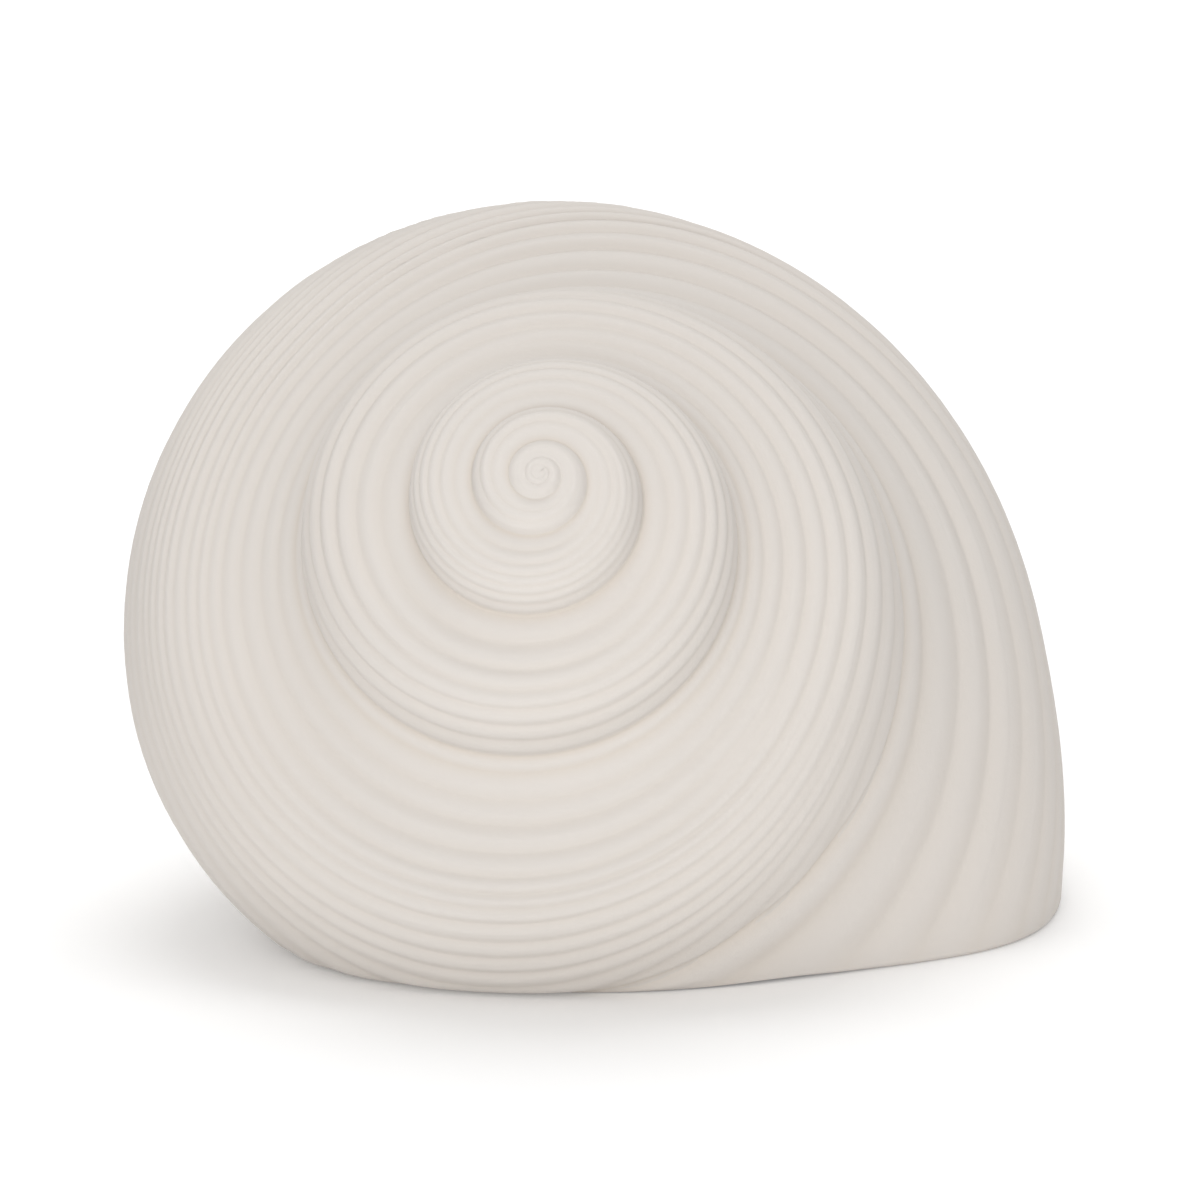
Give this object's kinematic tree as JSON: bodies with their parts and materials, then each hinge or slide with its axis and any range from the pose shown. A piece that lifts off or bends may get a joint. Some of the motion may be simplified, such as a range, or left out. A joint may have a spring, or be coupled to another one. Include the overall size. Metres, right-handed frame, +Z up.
{
  "type": "bonnet shell",
  "caption": "Round spiral seashell ornament with fine spiral ribs, a low spire and a wide flared mouth; it lies mouth down on its belly and lip.",
  "frame": {"origin": "centre of the bounding box in plan, on the table the shell rests on", "axes": "+Z up from the table, -Y towards the apex (the side seen in the picture), +X towards the flared lip"},
  "size_m": [0.214, 0.2914, 0.16],
  "materials": {
    "shell": "matte"
  },
  "bodies": {
    "root": {"shell": "shell"}
  },
  "joints": []
}
